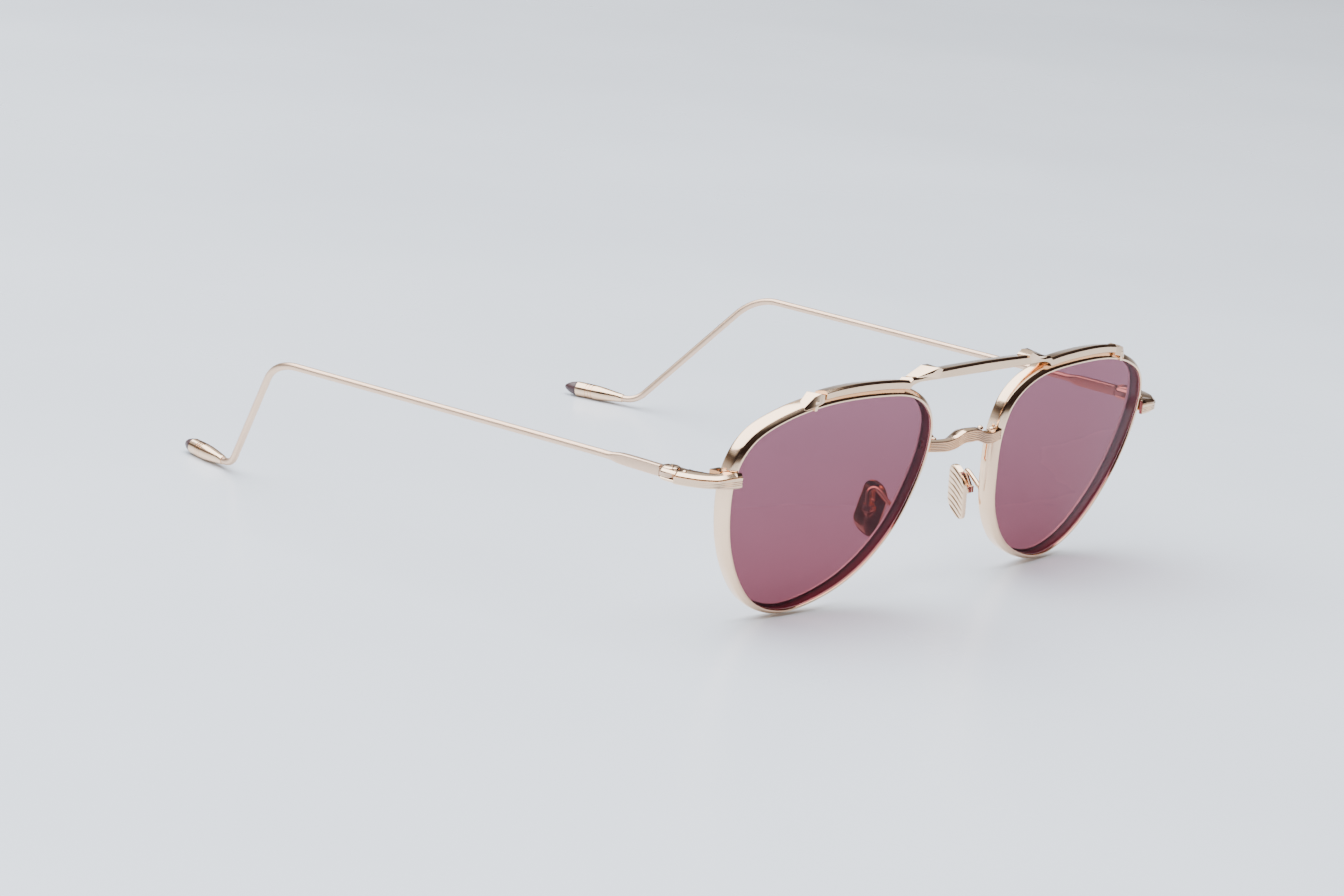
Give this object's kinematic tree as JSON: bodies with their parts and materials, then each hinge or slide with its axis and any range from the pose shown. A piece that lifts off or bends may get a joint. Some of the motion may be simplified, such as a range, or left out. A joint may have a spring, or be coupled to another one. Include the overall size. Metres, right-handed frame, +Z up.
{
  "type": "aviator sunglasses",
  "caption": "Wire-framed aviator sunglasses with a brow bar and lower bridge, deep rims, tinted curved lenses, screw-hinged folding temples with hooked ends, and rocking nose pads.",
  "frame": {"origin": "on the table, in the middle of the bounding box of the open glasses", "axes": "+Z up, +Y back along the temples, +X towards the wearer's left; the front faces -Y"},
  "size_m": [0.1452, 0.1548, 0.0475],
  "materials": {
    "rim_gold": "polished rose gold plating",
    "polished_gold": "polished rose gold plating",
    "brushed_gold": "satin rose gold plating",
    "pad_gold": "engraved rose gold plating",
    "lens_tint": "plum rose tint, see-through",
    "tip_plastic": "dark burgundy, polished"
  },
  "bodies": {
    "front": {"brow_bar": "polished_gold", "bridge": "polished_gold", "rim_right": "rim_gold", "lens_right": "lens_tint", "brow_clasp_right": "polished_gold", "end_piece_right": "polished_gold", "lock_upper_right": "polished_gold", "lock_lower_right": "polished_gold", "lock_screw_right": "polished_gold", "hinge_screw_right": "polished_gold", "pad_arm_right": "polished_gold", "pad_screw_right": "polished_gold", "rim_left": "rim_gold", "lens_left": "lens_tint", "brow_clasp_left": "polished_gold", "end_piece_left": "polished_gold", "lock_upper_left": "polished_gold", "lock_lower_left": "polished_gold", "lock_screw_left": "polished_gold", "hinge_screw_left": "polished_gold", "pad_arm_left": "polished_gold", "pad_screw_left": "polished_gold"},
    "temple_body_right": {"temple_right": "brushed_gold", "hinge_washers_right": "polished_gold", "tip_sleeve_right": "polished_gold", "tip_cap_right": "tip_plastic"},
    "pad_body_right": {"nose_pad_right": "pad_gold"},
    "temple_body_left": {"temple_left": "brushed_gold", "hinge_washers_left": "polished_gold", "tip_sleeve_left": "polished_gold", "tip_cap_left": "tip_plastic"},
    "pad_body_left": {"nose_pad_left": "pad_gold"}
  },
  "joints": [
    {"name": "temple_fold_left", "type": "hinge", "parent": "front", "child": "temple_body_left", "pos_m": [0.06989, -0.06188, 0.02963], "axis": [0, 0, 1], "range_deg": [0, 86]},
    {"name": "temple_fold_right", "type": "hinge", "parent": "front", "child": "temple_body_right", "pos_m": [-0.06989, -0.06188, 0.02963], "axis": [0, 0, -1], "range_deg": [0, 68]},
    {"name": "pad_rock_left", "type": "hinge", "parent": "front", "child": "pad_body_left", "pos_m": [0.01512, -0.06489, 0.01705], "axis": [0.3046, 0.9338, 0.1879], "range_deg": [-8, 8]},
    {"name": "pad_rock_right", "type": "hinge", "parent": "front", "child": "pad_body_right", "pos_m": [-0.01512, -0.06489, 0.01705], "axis": [0.3046, -0.9338, -0.1879], "range_deg": [-8, 8]}
  ]
}
